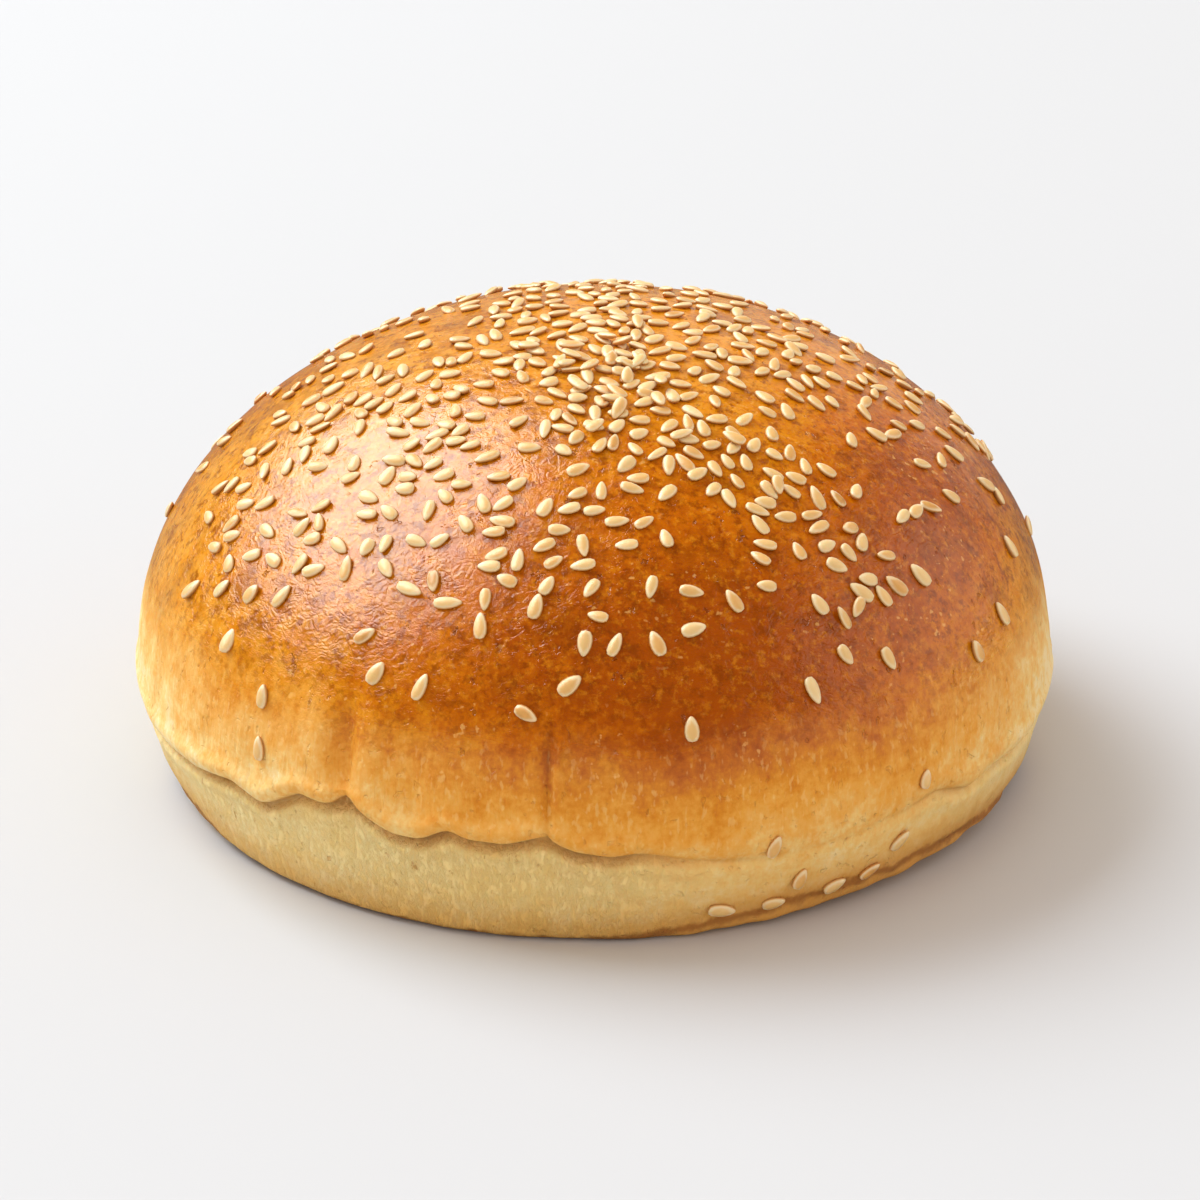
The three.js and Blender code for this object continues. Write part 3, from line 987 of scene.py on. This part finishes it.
# %% Seed colour
SEED_TONES = [
    (0, (0.92, 0.66, 0.30)), (0.5, (0.87, 0.54, 0.19)), (0.85, (0.80, 0.41, 0.10)),
    (1, (0.62, 0.29, 0.06)),
]
SEED_RIM = (0.98, 0.78, 0.48)
SEED_UNDERSIDE_SHADE = (0.46, 0.17, 0.03)
RIM_BAND, UNDERSIDE_SHADE_EDGE = (0.15, 0.4, 0.55, 0.85), (-0.15, 0.4)  # heights, 1 at the face
CLOUDS, CLOUD_TONE, CLOUD_ROUGHNESS = (0.8, 3), 0.25, 0.2
SEED_GRAIN, SEED_GRAIN_HEIGHT = (0.5, 2), 0.03
SEED_ROUGHNESS, SEED_SHINE = 0.42, 0.5
SEED_GLOW, SEED_GLOW_REACH = 0.12, 0.001

seed_material, seed_sockets, seed_place = new_material("toasted_sesame")
face = seed_place.stored("seed_face")
cloudy = seed_place.ripple(*CLOUDS)
toasted = (seed_place.stored("seed_tone") + cloudy * CLOUD_TONE).ramp(SEED_TONES)
seed_colour = toasted.layered(
    (face.band(*RIM_BAND), 0.75, SEED_RIM),
    # painted shade: the lower side darkens towards the crust
    (face.fall(*UNDERSIDE_SHADE_EDGE), 0.8, SEED_UNDERSIDE_SHADE),
)
feed(
    seed_sockets,
    Base_Color=seed_colour,
    Roughness=cloudy * CLOUD_ROUGHNESS + SEED_ROUGHNESS,
    Specular_IOR_Level=SEED_SHINE,
    Subsurface_Weight=SEED_GLOW,
    Subsurface_Scale=SEED_GLOW_REACH,
    Normal=(seed_place.noise(*SEED_GRAIN) * SEED_GRAIN_HEIGHT).bumps(),
)
wear(loose_seeds, seed_material)
wear(crown_seeds, seed_material)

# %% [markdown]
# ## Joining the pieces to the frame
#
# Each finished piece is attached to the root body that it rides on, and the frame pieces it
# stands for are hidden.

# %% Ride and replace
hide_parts("bun")
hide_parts(*LOOSE_NODES)
for piece, slot in ((crust, "crust"), (loose_seeds, "sesame"), (crown_seeds, "sesame")):
    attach(piece, "root")

# %% [markdown]
# ## The table
#
# The bun stands on a white table. So much white would wash out the glossy front of the dome, so in
# a studio black boards would lie round it. Here a light path does it: a ray that comes from a
# gloss sees the table as a dark board, and every other ray sees it white.

# %% Table
TABLE_SIZE = 3.2
TABLE_WHITE = 0.615
TABLE_IN_GLOSS = 0.16  # share of the white that the gloss sees
TABLE_ROUGHNESS, TABLE_SHINE = 0.8, 0.2

bpy.ops.object.select_all(action="DESELECT")
bpy.ops.mesh.primitive_plane_add(size=TABLE_SIZE)
table = bpy.context.object
table.name = "table"
table_material, table_sockets, table_place = new_material("white_table")
board = (TABLE_WHITE * TABLE_IN_GLOSS,) * 3
from_gloss = table_place.node("LightPath", output="Is Glossy Ray")
feed(
    table_sockets,
    Base_Color=table_place.plain((TABLE_WHITE,) * 3).mixed(from_gloss, board),
    Roughness=TABLE_ROUGHNESS,
    Specular_IOR_Level=TABLE_SHINE,
)
wear(table, table_material)

# %% [markdown]
# ## Lights
#
# One big window would light the bun well, but its light and its highlight couldn't be chosen
# apart. So the key, a broad softbox behind the bun's left shoulder, gives only light and the soft
# shadow to the right. The window, nearly in the same direction, is seen only in the gloss and
# makes the big highlight. A dim card on the right is seen only in the gloss too, and lifts that
# side. Angles and elevations are in degrees, distances and sizes in metres.

# %% Lights
KEY = dict(
    angle=-122, elevation=46, distance=3.4, size=(2.55, 1.95), power=120, tint=(0.9, 1.0, 1.1)
)
WINDOW = dict(
    angle=-113, elevation=49, distance=1.2, size=(1.45, 1.15), power=36, tint=(0.9, 1.02, 1.05)
)
CARD = dict(angle=93, elevation=19, distance=1.2, size=(1.4, 1.0), power=5.2, tint=(1.0, 1.0, 0.9))
LIGHT_AIM = Vector((0, 0, 0.025))


def direction(angle, elevation):
    """Direction from the bun, with 0 degrees towards the front and 90 to the right."""
    turn, rise = math.radians(angle), math.radians(elevation)
    across, back = math.sin(turn) * math.cos(rise), -math.cos(turn) * math.cos(rise)
    return Vector((across, back, math.sin(rise)))


def soft_light(name, angle, elevation, distance, size, power, tint):
    """A rectangular softbox that faces the bun."""
    bpy.ops.object.light_add(type="AREA")
    light = bpy.context.object
    light.name = name
    light.data.shape = "RECTANGLE"
    light.data.size, light.data.size_y = size
    light.data.energy = power
    light.data.color = tint
    away = direction(angle, elevation)
    light.location = LIGHT_AIM + away * distance
    light.rotation_mode = "QUATERNION"
    light.rotation_quaternion = away.to_track_quat("Z", "Y")
    light.visible_camera = False
    return light


key = soft_light("key", **KEY)
key.visible_glossy = False
window = soft_light("window", **WINDOW)
window.data.shape = "ELLIPSE"
window.visible_diffuse = False
card = soft_light("right_card", **CARD)
card.visible_diffuse = False

# %% [markdown]
# ## The room
#
# The room is split in the same way. The camera sees an even white behind the table. The gloss sees
# a bright wall behind the bun and darkness elsewhere, which keeps the front of the dome deep in
# colour; the wall fades to the left, where the window already shines. All other rays get a soft,
# warm fill, a little stronger from the right. A ray's direction has three coordinates from -1 to
# 1: X is 1 to the right and Y is 1 to the back.

# %% Room
ROOM_SEEN = 0.9
FILL_LEFT, FILL_RIGHT = 0.74, 0.94
FILL_TINT = (1.0, 0.91, 0.84)
WALL_BRIGHTNESS, WALL_EDGE, WALL_FADE = 0.85, (0.5, 0.95), (-0.75, 0.4)
WHITE = (1, 1, 1)

world = bpy.data.worlds.new("studio")
bpy.context.scene.world = world
world.use_nodes = True
start = Wire(world.node_tree)
towards = start.node("TexCoord", output="Generated")
to_camera = start.node("LightPath", output="Is Camera Ray")
to_gloss = start.node("LightPath", output="Is Glossy Ray")
wall = towards.axis("Y").step(*WALL_EDGE, 0, WALL_BRIGHTNESS) * towards.axis("X").step(*WALL_FADE)
fill = towards.axis("X").step(-1, 1, FILL_LEFT, FILL_RIGHT)
brightness = to_camera * ROOM_SEEN + (1 - to_camera) * (to_gloss * wall + (1 - to_gloss) * fill)
feed(
    world.node_tree.nodes["Background"].inputs,
    Strength=brightness,
    Color=start.plain(FILL_TINT).mixed(to_camera, WHITE),
)

# %% [markdown]
# ## The camera
#
# The camera looks down on the bun from the front, through a long lens that keeps its shape true.

# %% Camera
CAMERA_ELEVATION = 23.8
CAMERA_DISTANCE = 0.37
CAMERA_LENS = 91.6
CAMERA_SENSOR = 36
CAMERA_AIM = Vector((0.0006, 0, 0.0175))
CLIP_START = 0.01

bpy.ops.object.camera_add()
camera = bpy.context.object
camera.data.lens = CAMERA_LENS
camera.data.sensor_width = CAMERA_SENSOR
camera.location = CAMERA_AIM + direction(0, CAMERA_ELEVATION) * CAMERA_DISTANCE
camera.rotation_euler = (math.radians(90 - CAMERA_ELEVATION), 0, 0)
camera.data.clip_start = CLIP_START
bpy.context.scene.camera = camera
bpy.context.scene.view_settings.view_transform = "Standard"
